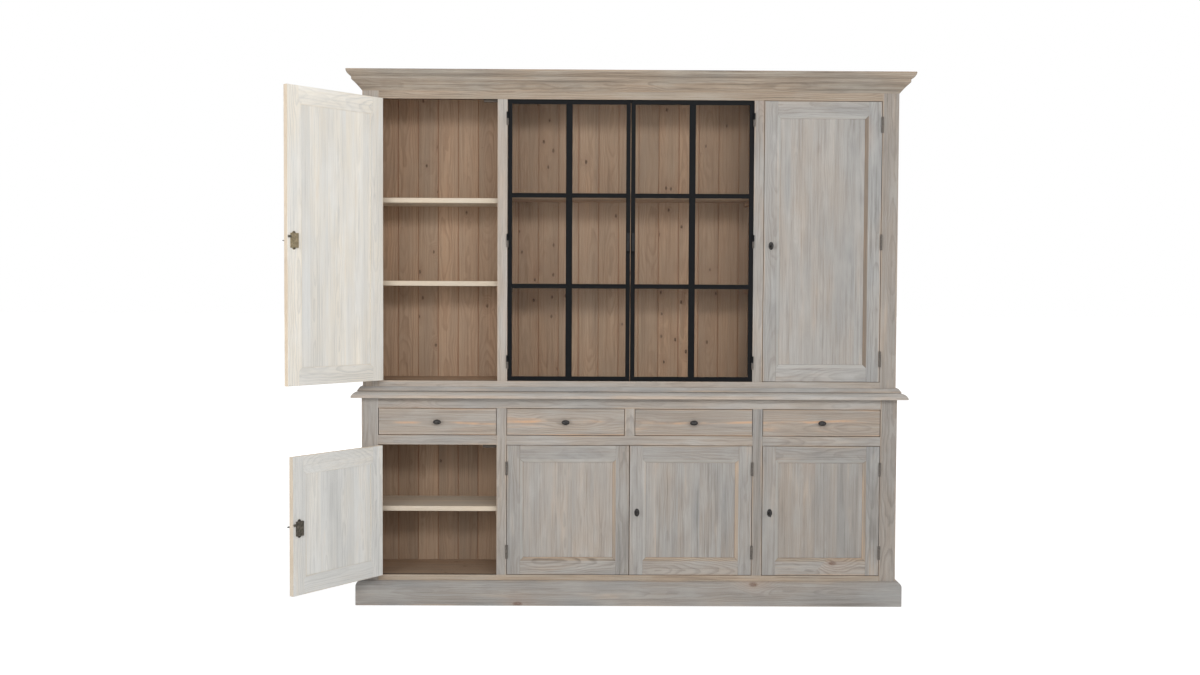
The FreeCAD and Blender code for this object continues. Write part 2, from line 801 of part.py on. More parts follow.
def make_pull(middle, level, front):
    """A slim upright grip of flat bar on two short posts."""
    xs = around(middle, pull_width)
    zs = around(level, pull_length)
    grip_back = front - pull_stand + pull_thickness
    grip = block(xs, (front - pull_stand, grip_back), zs)
    post_zs = ((zs[0], zs[0] + pull_post_height), (zs[1] - pull_post_height, zs[1]))
    return [grip] + [block(xs, (grip_back, front), heights) for heights in post_zs]


# Drawers

def make_drawer(left):
    """A front on a box of two sides, a back and a grooved-in bottom."""
    zs = inset((drawer_bottom, drawer_top), drawer_gap)
    front_back = lower_front + drawer_front_thickness
    front = block(inset((left, left + bay_width), drawer_gap), (lower_front, front_back), zs)
    xs = inset((left, left + bay_width), drawer_side_gap)
    base = drawer_bottom + drawer_run_clearance
    heights = (base, base + drawer_side_height)
    ys = (front_back, back_face - drawer_back_room)
    inner_xs = inset(xs, drawer_side_thickness)
    floor_heights = (base + drawer_bottom_rise, base + drawer_bottom_rise + drawer_bottom_thickness)
    bottom = block(inset(inner_xs, -drawer_groove), ys, floor_heights)
    sides = [block((xs[0], inner_xs[0]), ys, heights), block((inner_xs[1], xs[1]), ys, heights)]
    back_ys = (ys[1] - drawer_side_thickness, ys[1])
    back = block(inner_xs, back_ys, (floor_heights[1], heights[1]))
    return [front, back, bottom] + [side.cut(bottom) for side in sides]


def make_knob(left):
    """An oval knob that draws in to its neck and swells out to its head."""
    level = (drawer_bottom + drawer_top) / 2
    middle = left + bay_width / 2
    rings = []
    for out_share, size_share in knob_section_shares:
        centre = point(middle, lower_front - knob_reach * out_share, level)
        rings.append(oval_ring(knob_width * size_share, knob_height * size_share, centre))
    return [stacked_rings(rings)]


# Whole hutch

def save_door(name, door, edge, front, right_hand=False, angle=0):
    """Save a door's pieces, mirrored for the right-hand side or swung open about its pin."""
    pin = pin_place(edge, front)
    for piece, shapes in door.items():
        placed = [turned(shape, point(pin[0], pin[1], 0), up, -angle) for shape in shapes]
        if right_hand:
            placed = [mirrored(shape) for shape in placed]
        save(name + "_" + piece, placed)


def save_carcasses():
    save("plinth", make_plinth())
    save("lower_sides", make_sides(lower_inside, 0, lower_top))
    save("lower_floor", [block(inset((-half_width, half_width), board_thickness), lower_inside,
                               (floor_level - board_thickness, floor_level))])
    divider = block(around(0, board_thickness), lower_inside, (drawer_bottom, lower_top))
    save("lower_partitions", make_partitions(lower_inside, floor_level, lower_top) + [divider])
    save("drawer_runners", make_runners())
    save("lower_face_frame", make_lower_frame())
    save("lower_back_boards", make_back(floor_level - board_thickness, lower_top))
    save("worktop", make_worktop())
    save("base_moulding", make_base_moulding())
    save("upper_sides", make_sides(upper_inside, worktop_level, frieze_top))
    full_width = (-side_inner, side_inner)
    decks = [block(full_width, upper_inside, (upper_floor_level - board_thickness, upper_floor_level)),
             block(full_width, upper_inside, (top_deck_bottom, frieze_top))]
    save("upper_decks", decks)
    save("upper_partitions", make_partitions(upper_inside, upper_floor_level, top_deck_bottom))
    save("upper_face_frame", make_upper_frame())
    save("upper_back_boards", make_back(worktop_level, frieze_top))
    save("cornice", make_cornice())
    save("shelves", make_shelves())
    save("shelf_cleats", make_cleats())
    save("door_stops", make_stops())
    save("hinge_frame_halves", make_frame_hinges())


def save_lower_doors():
    zs = (floor_level, lower_door_top)
    hinges = (lower_hinges, lower_hinge_height)
    pair = (second_bay[0], 0)
    half_gap = meeting_gap / 2
    first = make_door(first_bay, door_gap, zs, lower_front, hinges, lower_lock_level, open_door_key_turn)
    second = make_door(pair, half_gap, zs, lower_front, hinges)
    third = make_door(pair, half_gap, zs, lower_front, hinges, lower_lock_level)
    fourth = make_door(first_bay, door_gap, zs, lower_front, hinges, lower_lock_level)
    save_door("lower_door_1", first, first_bay[0], lower_front, angle=lower_left_opening)
    save_door("lower_door_2", second, second_bay[0], lower_front)
    save_door("lower_door_3", third, second_bay[0], lower_front, right_hand=True)
    save_door("lower_door_4", fourth, first_bay[0], lower_front, right_hand=True)


def save_upper_doors():
    zs = (upper_floor_level, upper_door_top)
    hinges = (upper_hinges, upper_hinge_height)
    left = make_door(first_bay, door_gap, zs, upper_front, hinges, upper_lock_level, open_door_key_turn)
    right = make_door(first_bay, door_gap, zs, upper_front, hinges, upper_lock_level)
    save_door("upper_left_door", left, first_bay[0], upper_front, angle=upper_left_opening)
    save_door("upper_right_door", right, first_bay[0], upper_front, right_hand=True)
    glass_door = make_glass_door()
    save_door("glass_door_left", glass_door, second_bay[0], upper_front)
    save_door("glass_door_right", glass_door, second_bay[0], upper_front, right_hand=True)


def save_drawers():
    for number, left in enumerate(bay_lefts, start=1):
        name = "drawer_" + str(number)
        save(name, make_drawer(left))
        save(name + "_knob", make_knob(left))


os.makedirs("parts", exist_ok=True)
save_carcasses()
save_lower_doors()
save_upper_doors()
save_drawers()
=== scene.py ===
import json
import math
import random
from collections import Counter

import bmesh
import bpy
from mathutils import Matrix, Vector

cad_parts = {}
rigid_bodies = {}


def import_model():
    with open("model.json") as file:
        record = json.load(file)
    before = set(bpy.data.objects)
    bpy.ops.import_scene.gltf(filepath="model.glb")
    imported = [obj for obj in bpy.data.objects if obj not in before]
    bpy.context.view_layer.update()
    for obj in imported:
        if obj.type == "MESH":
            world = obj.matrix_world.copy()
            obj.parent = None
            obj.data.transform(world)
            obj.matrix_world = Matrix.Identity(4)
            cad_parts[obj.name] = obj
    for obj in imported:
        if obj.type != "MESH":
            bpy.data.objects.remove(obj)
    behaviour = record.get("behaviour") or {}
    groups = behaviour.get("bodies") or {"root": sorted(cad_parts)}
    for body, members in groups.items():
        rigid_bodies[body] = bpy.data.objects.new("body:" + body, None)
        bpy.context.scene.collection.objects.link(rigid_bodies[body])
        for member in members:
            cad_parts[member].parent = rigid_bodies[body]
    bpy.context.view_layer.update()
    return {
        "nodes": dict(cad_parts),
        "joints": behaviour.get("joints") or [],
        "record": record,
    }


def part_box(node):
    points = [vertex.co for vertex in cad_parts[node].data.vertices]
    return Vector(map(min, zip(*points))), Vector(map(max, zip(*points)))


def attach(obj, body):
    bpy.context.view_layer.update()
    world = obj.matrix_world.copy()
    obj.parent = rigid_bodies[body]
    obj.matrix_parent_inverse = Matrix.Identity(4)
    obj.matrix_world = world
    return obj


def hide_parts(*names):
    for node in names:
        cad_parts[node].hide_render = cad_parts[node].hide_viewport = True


# The hutch's looks: every CAD node gets a dressed piece with softened edges and a procedural finish.
# Lengths are in metres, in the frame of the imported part, whose front faces -y.

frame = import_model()
nodes = frame["nodes"]
joints = frame["joints"]
body_nodes = frame["record"]["behaviour"]["bodies"]
body_of_node = {node: body for body, members in body_nodes.items() for node in members}

# Places that tell boards and fittings apart
frieze_bottom = 2.1
base_moulding_bottom = 0.9
foot_rail_top = 0.15
left_bay_end = -0.54
outer_stile_sum = 1.5  # the two ends of an outer stile's width add up to more than this
hinge_zone = 0.1  # hinge halves are nearer to their door's pivot than this, and lock parts are not
lock_case_depth = 0.015  # a lock's case is further behind the pivot than this, its escutcheon is not
touching = 0.001

# Rounded edges, and the angle in degrees from which an edge is rounded
wood_rounding = 0.0015
frame_rounding = 0.001
moulding_rounding = 0.0022
drawer_rounding = 0.0018
back_rounding = 0.0005
metal_rounding = 0.0007
lock_rounding = 0.0006
pane_rounding = 0.0005
rounding_steps = 2
wood_crease = 35
metal_crease = 50
flat_angle = 1


# Where things are

def closed_pose(body):
    """The turn that brings a door, and what it carries, to where it is when shut."""
    for joint in joints:
        if joint["child"] == body and joint["parent"] != "carcass":
            return closed_pose(joint["parent"])
        if joint["child"] == body and joint["type"] == "hinge":
            centre = Vector(joint["pos_m"])
            turn = Matrix.Rotation(math.radians(joint["range_deg"][0]), 4, Vector(joint["axis"]))
            return Matrix.Translation(centre) @ turn @ Matrix.Translation(-centre)
    return Matrix.Identity(4)


def solids_of(node):
    """The node's solids as (points, faces). A solid ends at the face that closes its last open edge."""
    mesh = nodes[node].data
    solids, places, faces, open_edges = [], {}, [], Counter()
    for polygon in mesh.polygons:
        spots = [tuple(round(c, 6) for c in mesh.vertices[v].co) for v in polygon.vertices]
        face = [places.setdefault(spot, len(places)) for spot in spots]
        faces.append(face)
        for start, end in zip(face, face[1:] + face[:1]):
            if open_edges[end, start]:
                open_edges[end, start] -= 1
            else:
                open_edges[start, end] += 1
        open_edges = +open_edges
        if not open_edges:
            solids.append((list(places), faces))
            places, faces = {}, []
    return solids


def limits(points):
    return [(min(c), max(c)) for c in zip(*points)]


# Materials

def linear(*rgb):
    """A colour given as screen values from 0 to 255."""
    channels = [c / 255 for c in rgb]
    return [c / 12.92 if c <= 0.04045 else ((c + 0.055) / 1.055) ** 2.4 for c in channels] + [1.0]


class Shader:
    """A material's node tree, with short ways to add to it."""

    def __init__(self, name):
        self.material = bpy.data.materials.new(name)
        self.material.use_nodes = True
        self.tree = self.material.node_tree
        self.surface = self.tree.nodes["Principled BSDF"]

    def put(self, socket, value):
        if isinstance(value, bpy.types.NodeSocket):
            self.tree.links.new(value, socket)
        else:
            socket.default_value = value

    def coat(self, **values):
        """Give the surface its values, by socket names with underscores for spaces."""
        for key, value in values.items():
            self.put(self.surface.inputs[key.replace("_", " ")], value)

    def show(self, shader):
        self.put(self.tree.nodes["Material Output"].inputs["Surface"], shader)

    def add(self, kind, settings=None, inputs=None):
        node = self.tree.nodes.new("ShaderNode" + kind)
        for key, value in (settings or {}).items():
            setattr(node, key, value)
        for key, value in (inputs or {}).items():
            self.put(node.inputs[key], value)
        return node

    def math(self, operation, a, b=0.0):
        return self.add("Math", {"operation": operation}, {0: a, 1: b}).outputs[0]

    def plus(self, *terms):
        total = terms[0]
        for term in terms[1:]:
            total = self.math("ADD", total, term)
        return total

    def minus(self, a, b):
        return self.math("SUBTRACT", a, b)

    def times(self, a, b):
        return self.math("MULTIPLY", a, b)

    def about(self, value, amount):
        """How far a value is from one half, times an amount."""
        return self.times(self.minus(value, 0.5), amount)

    def ease(self, value, low, high, start=0.0, end=1.0):
        """A smooth step from start to end while the value goes from low to high."""
        inputs = {"Value": value, "From Min": low, "From Max": high, "To Min": start, "To Max": end}
        return self.add("MapRange", {"interpolation_type": "SMOOTHSTEP"}, inputs).outputs[0]

    def fade(self, value, low, high):
        return self.ease(value, low, high, 1.0, 0.0)

    def mix(self, share, a, b, blend="MIX"):
        node = self.add("Mix", {"data_type": "RGBA", "blend_type": blend, "clamp_factor": True})
        for index, value in ((0, share), (6, a), (7, b)):
            self.put(node.inputs[index], value)
        return node.outputs[2]

    def stretched(self, vector, scale):
        return self.add("VectorMath", {"operation": "MULTIPLY"}, {0: vector, 1: scale}).outputs[0]

    def noise(self, vector, scale, detail=2.0, roughness=0.5):
        inputs = {"Vector": self.stretched(vector, scale), "Scale": 1.0,
                  "Detail": detail, "Roughness": roughness}
        return self.add("TexNoise", None, inputs).outputs[0]

    def split(self, vector):
        return self.add("SeparateXYZ", None, {0: vector}).outputs

    def joined(self, x, y, z):
        return self.add("CombineXYZ", None, {0: x, 1: y, 2: z}).outputs[0]

    def attribute(self, name):
        return self.add("Attribute", {"attribute_name": name}).outputs["Vector"]

    def object_place(self):
        return self.add("TexCoord").outputs["Object"]

    def bump(self, height, distance, strength):
        inputs = {"Height": height, "Distance": distance, "Strength": strength}
        self.coat(Normal=self.add("Bump", None, inputs).outputs[0])


# Pine: u runs along a board's grain, v across its face and w through it. A band is where a noise starts and
# stops to show.
strip_width = 0.092
strip_shift = 5.0
board_shift_along, board_shift_across, strip_shift_along = 40.0, 17.0, 9.0
knotty_factor, knotty_band, knotty_range = 7.3, (0.55, 0.8), (0.35, 2.2)
knot_roughness, knot_band, eye_band = 0.07, (0.04, 0.10), (0.0, 0.5)
halo_share = 0.35
ring_pitch = 0.0056
heart_depth, heart_rise = 0.01, 0.17
heart_shift, heart_wander = 0.05, 0.04
ring_bend, knot_bend = 2.2, 4.0
late_wood_band, year_end_band = (0.35, 0.85), (0.88, 1.0)
ring_fade_band, ring_fade_range = (0.34, 0.60), (0.3, 1.0)
least_ring, figured_ring = 0.45, 0.7
streak_drift, blotch_drift, strip_drift, warmth_drift = 1.0, 2.1, 0.4, 1.1
wash_band = (0.44, 0.72)
pale_line_band, dark_line_band = (0.52, 0.30), (0.52, 0.72)
fibre_band = (0.52, 0.75)
least_shade, tone_shade = 0.80, 0.32
strip_shade, streak_shade, slow_shade = 0.12, 0.3, 0.25
bare_streak_band, bare_patch_band = (0.56, 0.72), (0.42, 0.60)
dash_wander, dash_band, dash_patch_band = 0.05, (0.001, 0.008), (0.46, 0.60)
edge_raggedness, edge_band, edge_blotch_band = 0.02, (0.0, 0.007), (0.40, 0.62)
wood_gloss_band, wood_roughness = (0.6, 1.4), (0.66, 0.88)
wood_specular = 0.25
ring_relief, fibre_relief, knot_relief = -0.6, 0.35, -0.4
wood_bump_distance, wood_bump_strength = 0.0007, 0.6


class Wood(Shader):
    """Sawn pine under a thin wash: growth rings, fibres, knots, glued strips and worn edges."""

    def __init__(self, name, looks):
        super().__init__(name)
        self.looks = looks
        self.read_board()
        self.draw_noises()
        self.draw_knots()
        self.draw_rings()
        self.draw_colour()
        self.draw_surface()

    def read_board(self):
        """The point's place on its board. Wide boards are glued up of strips, each with its own figure and
        tone."""
        u, self.v, w = self.split(self.attribute("board_place"))
        self.figure, self.half_width = self.split(self.attribute("board_figure"))[:2]
        self.tone, self.warmth, self.seed = self.split(self.attribute("board_tint"))
        is_wide = self.math("GREATER_THAN", self.half_width, strip_width)
        strips = self.plus(self.math("DIVIDE", self.v, strip_width), self.times(self.seed, strip_shift))
        strip = self.times(self.math("FLOOR", strips), is_wide)
        spot = self.joined(strip, self.seed, 0.0)
        draw = self.add("TexWhiteNoise", {"noise_dimensions": "2D"}, {"Vector": spot})
        self.strip_draw = draw.outputs[0]
        in_strip = self.about(self.math("FRACT", strips), strip_width)
        self.across = self.plus(self.v, self.times(is_wide, self.minus(in_strip, self.v)))
        board_along = self.times(self.seed, board_shift_along)
        strip_along = self.times(self.strip_draw, strip_shift_along)
        board_across = self.times(self.seed, board_shift_across)
        self.place = self.joined(self.plus(u, board_along, strip_along), self.plus(self.v, board_across), w)

    def grain(self, along, across, detail=2.0, roughness=0.5):
        return self.noise(self.place, (along, across, across), detail, roughness)

    def draw_noises(self):
        self.slow = self.grain(1.1, 5.0)
        self.rise = self.grain(1.5, 2.0, 1.0)
        self.bend = self.grain(9.0, 22.0)
        self.streak = self.grain(1.3, 15.0, 4.0, 0.6)
        self.line = self.grain(3.0, 120.0, 3.0, 0.6)
        self.blotch = self.grain(2.4, 8.0, 3.0)
        self.patch = self.grain(5.0, 15.0, 3.0)
        self.fibre = self.grain(10.0, 420.0, 3.0, 0.6)

    def draw_knots(self):
        """Knots, many in some boards and few in others."""
        along, across = self.looks["knot_scale"]
        spot = self.stretched(self.place, (along, across, 0.0))
        cells = self.add("TexVoronoi", {"voronoi_dimensions": "2D"}, {"Vector": spot, "Scale": 1.0})
        knottiness = self.math("FRACT", self.times(self.seed, knotty_factor))
        chance = self.times(self.ease(knottiness, *knotty_band, *knotty_range), self.looks["knots"])
        is_knot = self.math("LESS_THAN", self.split(cells.outputs["Color"])[0], chance)
        distance = self.plus(cells.outputs["Distance"], self.about(self.patch, knot_roughness))
        self.knot = self.times(self.fade(distance, *knot_band), is_knot)
        self.eye = self.times(self.fade(distance, *eye_band), is_knot)

    def draw_rings(self):
        """Growth rings about a heart that lies under the board and wanders. They bend round the knots, and
        each year's growth is dark at its end."""
        shift = self.about(self.strip_draw, heart_shift)
        heart = self.plus(self.across, shift, self.about(self.slow, heart_wander))
        depth = self.plus(heart_depth, self.times(self.rise, self.times(self.figure, heart_rise)))
        radius = self.math("SQRT", self.plus(self.times(heart, heart), self.times(depth, depth)))
        bends = self.times(self.bend, ring_bend), self.times(self.eye, knot_bend)
        year = self.math("FRACT", self.plus(self.math("DIVIDE", radius, ring_pitch), *bends))
        late = self.times(self.ease(year, *late_wood_band), self.fade(year, *year_end_band))
        late = self.times(late, self.ease(self.blotch, *ring_fade_band, *ring_fade_range))
        self.rings = self.times(late, self.plus(least_ring, self.times(self.figure, figured_ring)))

    def paint(self, share, amount, tint):
        """Cover the colour so far with one of the palette's, where the share shows it."""
        self.colour = self.mix(self.times(share, amount), self.colour, self.looks[tint])

    def draw_colour(self):
        looks = self.looks
        drift = self.plus(self.about(self.streak, streak_drift), self.about(self.blotch, blotch_drift),
                          self.about(self.strip_draw, strip_drift), self.about(self.warmth, warmth_drift))
        share = self.plus(self.times(drift, looks["streaks"]), 0.5)
        self.colour = self.mix(share, looks["cool"], looks["warm"])
        self.paint(self.ease(self.patch, *wash_band), looks["wash"], "pale")
        self.paint(self.ease(self.line, *pale_line_band), looks["lines"], "pale")
        self.paint(self.ease(self.line, *dark_line_band), looks["lines"], "dark")
        self.paint(self.rings, looks["rings"], "dark")
        self.paint(self.ease(self.fibre, *fibre_band), looks["fibres"], "dark")
        shade = self.plus(least_shade, self.times(self.tone, tone_shade),
                          self.about(self.strip_draw, strip_shade), self.about(self.streak, streak_shade),
                          self.about(self.slow, slow_shade))
        self.colour = self.mix(1.0, self.colour, self.joined(shade, shade, shade), "MULTIPLY")
        bare = self.times(self.ease(self.streak, *bare_streak_band), self.ease(self.patch, *bare_patch_band))
        self.paint(bare, looks["wear"], "worn")
        if "flame" in looks:
            self.paint(self.dashes(), looks["flame"], "worn")
        self.paint(self.eye, looks["knot_depth"] * halo_share, "halo")
        self.paint(self.knot, looks["knot_depth"], "knot")
        self.paint(self.edge_wear(), looks["wear"], "worn")

    def dashes(self):
        """Bare dashes along the middle of the board, where the rings come to the surface."""
        aside = self.math("ABSOLUTE", self.plus(self.v, self.about(self.rise, dash_wander)))
        return self.times(self.fade(aside, *dash_band), self.ease(self.patch, *dash_patch_band))

    def edge_wear(self):
        """Wear along the long edges."""
        from_edge = self.minus(self.half_width, self.math("ABSOLUTE", self.v))
        from_edge = self.plus(from_edge, self.about(self.streak, edge_raggedness))
        return self.times(self.fade(from_edge, *edge_band), self.ease(self.blotch, *edge_blotch_band))

    def draw_surface(self):
        roughness = self.ease(self.plus(self.fibre, self.streak), *wood_gloss_band, *wood_roughness)
        self.coat(Base_Color=self.colour, Roughness=roughness, Specular_IOR_Level=wood_specular)
        height = self.plus(self.times(self.rings, ring_relief), self.times(self.fibre, fibre_relief),
                           self.times(self.knot, knot_relief))
        self.bump(height, wood_bump_distance, wood_bump_strength)


def pine(name, cool, warm, pale, dark, knot, halo, worn, **amounts):
    """A pine material of seven colours, with amounts that say how much of each shows."""
    colours = {"cool": cool, "warm": warm, "pale": pale, "dark": dark,
               "knot": knot, "halo": halo, "worn": worn}
    looks = {key: linear(*value) for key, value in colours.items()}
    looks.update(amounts)
    return Wood(name, looks).material


metal_detail, metal_noise_roughness = 4.0, 0.6
metal_grain_factor, metal_grain_share = 9, 0.4
metal_tone_band, metal_gloss_band = (0.35, 0.72), (0.4, 1.0)
metal_bump_distance, metal_bump_strength = 0.0003, 0.3


def metal(name, dark, light, metallic, specular, roughness, scale):
    """Forged or painted metal with uneven tone and gloss."""
    s = Shader(name)
    place = s.object_place()
    cloud = s.noise(place, [scale] * 3, metal_detail, metal_noise_roughness)
    grain = s.noise(place, [scale * metal_grain_factor] * 3)
    gloss = s.plus(cloud, s.times(grain, metal_grain_share))
    s.coat(Base_Color=s.mix(s.ease(cloud, *metal_tone_band), linear(*dark), linear(*light)),
           Roughness=s.ease(gloss, *metal_gloss_band, *roughness),
           Metallic=metallic, Specular_IOR_Level=specular)
    s.bump(s.plus(cloud, grain), metal_bump_distance, metal_bump_strength)
    return s.material


glass_colour, glass_specular_tint, glass_ior = (0.98, 0.985, 0.98, 1.0), (0.12, 0.12, 0.12, 1.0), 1.45
glass_noise_scale, glass_noise_band, glass_roughness = 6.0, (0.3, 0.8), (0.0, 0.02)


def glass(name):
    """Clear panes that let lamps and soft light through to the shelves."""
    s = Shader(name)
    unevenness = s.noise(s.object_place(), [glass_noise_scale] * 3)
    s.coat(Base_Color=glass_colour, Transmission_Weight=1.0, IOR=glass_ior,
           Specular_Tint=glass_specular_tint,
           Roughness=s.ease(unevenness, *glass_noise_band, *glass_roughness))
    path = s.add("LightPath").outputs
    passing = s.math("MAXIMUM", path["Is Shadow Ray"], path["Is Diffuse Ray"])
    clear = s.add("BsdfTransparent").outputs[0]
    s.show(s.add("MixShader", None, {0: passing, 1: s.surface.outputs[0], 2: clear}).outputs[0])
    return s.material


edge_amounts = {"streaks": 0.9, "lines": 0.35, "rings": 0.25, "fibres": 0.2,
                "knots": 0.03, "knot_scale": (5.0, 10.0), "knot_depth": 0.5}
finishes = {
    "outside": pine(
        "washed_pine", cool=(165, 164, 162), warm=(184, 172, 160), pale=(194, 192, 188),
        dark=(112, 105, 99), knot=(112, 82, 66), halo=(188, 158, 136), worn=(204, 178, 152),
        streaks=1.0, wash=0.55, lines=0.42, rings=0.40, fibres=0.34, wear=0.45,
        knots=0.05, knot_scale=(4.0, 8.0), knot_depth=0.75),
    "warm": pine(
        "warm_washed_pine", cool=(158, 150, 140), warm=(180, 162, 143), pale=(192, 183, 170),
        dark=(100, 89, 79), knot=(112, 82, 66), halo=(180, 148, 122), worn=(198, 170, 143),
        streaks=1.5, wash=0.5, lines=0.60, rings=0.6, fibres=0.35, wear=0.4,
        knots=0.03, knot_scale=(4.0, 8.0), knot_depth=0.75),
    "flame": pine(
        "flamed_pine", cool=(163, 160, 156), warm=(182, 168, 154), pale=(192, 188, 182),
        dark=(112, 104, 97), knot=(112, 82, 66), halo=(188, 158, 136), worn=(212, 172, 138),
        streaks=1.0, wash=0.5, lines=0.42, rings=0.40, fibres=0.34, wear=0.7, flame=0.85,
        knots=0.05, knot_scale=(4.0, 8.0), knot_depth=0.75),
    # Dark pine that paints shade: in the gaps round the openings, along the doors' bevels, under the base
    # moulding and on the door stops.
    "seam": pine(
        "painted_shade_pine", cool=(76, 70, 65), warm=(80, 72, 64), pale=(88, 82, 75),
        dark=(50, 45, 40), knot=(60, 50, 44), halo=(86, 76, 66), worn=(100, 88, 76),
        streaks=0.8, wash=0.2, lines=0.3, rings=0.2, fibres=0.2, wear=0.2,
        knots=0.02, knot_scale=(5.0, 10.0), knot_depth=0.5),
    "inside": pine(
        "brown_pine", cool=(178, 155, 133), warm=(197, 164, 135), pale=(198, 174, 149),
        dark=(132, 102, 80), knot=(74, 56, 45), halo=(140, 110, 90), worn=(150, 112, 90),
        streaks=0.9, wash=0.3, lines=0.42, rings=0.42, fibres=0.28, wear=0.3,
        knots=0.20, knot_scale=(9.0, 15.0), knot_depth=0.8),
    "groove": pine(
        "grooved_pine", cool=(181, 150, 123), warm=(185, 148, 119), pale=(190, 158, 131),
        dark=(156, 121, 97), knot=(92, 70, 56), halo=(160, 118, 94), worn=(156, 112, 90),
        streaks=0.8, wash=0.2, lines=0.2, rings=0.2, fibres=0.2, wear=0.3,
        knots=0.05, knot_scale=(7.0, 13.0), knot_depth=0.5),
    "white": pine(
        "whitewashed_pine", cool=(231, 231, 228), warm=(239, 232, 219), pale=(244, 243, 239),
        dark=(186, 186, 183), knot=(150, 136, 122), halo=(222, 210, 194), worn=(234, 220, 198),
        streaks=1.1, wash=0.5, lines=0.35, rings=0.50, fibres=0.25, wear=0.45,
        knots=0.04, knot_scale=(5.0, 10.0), knot_depth=0.6),
    "cream": pine(
        "cream_pine", cool=(224, 213, 196), warm=(236, 219, 196), pale=(238, 227, 210),
        dark=(190, 168, 142), knot=(160, 120, 92), halo=(214, 186, 154), worn=(230, 210, 184),
        streaks=0.8, wash=0.3, lines=0.28, rings=0.35, fibres=0.25, wear=0.3,
        knots=0.04, knot_scale=(5.0, 10.0), knot_depth=0.5),
    "pale_edge": pine(
        "pale_worn_pine", cool=(177, 176, 173), warm=(187, 180, 171), pale=(197, 195, 191),
        dark=(132, 125, 118), knot=(140, 120, 104), halo=(190, 170, 150), worn=(204, 178, 154),
        wash=0.4, wear=0.5, **edge_amounts),
    "peach_edge": pine(
        "peach_worn_pine", cool=(176, 165, 153), warm=(196, 173, 150), pale=(202, 187, 172),
        dark=(142, 124, 108), knot=(130, 100, 80), halo=(192, 160, 132), worn=(212, 181, 152),
        wash=0.3, wear=0.6, **edge_amounts),
    # Worn edge, darker as painted shade: it goes on the upper doors' panel slopes that face away from the
    # light.
    "warm_edge": pine(
        "worn_shaded_pine", cool=(136, 124, 112), warm=(151, 132, 115), pale=(166, 152, 138),
        dark=(110, 94, 82), knot=(112, 80, 62), halo=(160, 130, 108), worn=(190, 160, 132),
        wash=0.3, wear=0.4, **edge_amounts),
    "iron": metal(
        "dark_iron", dark=(44, 43, 44), light=(80, 77, 75),
        metallic=0.4, specular=0.3, roughness=(0.45, 0.7), scale=160.0),
    "hinge": metal(
        "worn_iron", dark=(86, 81, 77), light=(130, 123, 115),
        metallic=0.4, specular=0.3, roughness=(0.5, 0.75), scale=220.0),
    "steel": metal(
        "aged_steel", dark=(78, 75, 68), light=(122, 116, 104),
        metallic=0.6, specular=0.4, roughness=(0.35, 0.6), scale=120.0),
    "brass": metal(
        "aged_brass", dark=(130, 117, 92), light=(176, 162, 134),
        metallic=0.6, specular=0.4, roughness=(0.35, 0.6), scale=120.0),
    "black": metal(
        "black_steel", dark=(13, 14, 16), light=(21, 22, 24),
        metallic=0.0, specular=0.1, roughness=(0.45, 0.65), scale=60.0),
    "pull": metal(
        "blued_steel", dark=(26, 27, 29), light=(46, 46, 47),
        metallic=0.2, specular=0.2, roughness=(0.45, 0.65), scale=90.0),
    "glass": glass("pane_glass")}
slot_finishes = {
    "pine_outside": ("outside", "warm", "flame", "seam", "white", "pale_edge", "peach_edge", "warm_edge"),
    "pine_inside": ("inside", "groove"),
    "pine_shelf": ("cream",),
    "iron": ("iron", "hinge", "brass"),
    "lock_steel": ("steel",),
    "black_steel": ("black", "pull"),
    "glass": ("glass",)}
slot_of_finish = {finish: slot for slot, members in slot_finishes.items() for finish in members}


# Dressed pieces

tint_spread = 0.3
right_end_shade = 0.3  # the photo's right end is the darker one
least_figure = 0.5


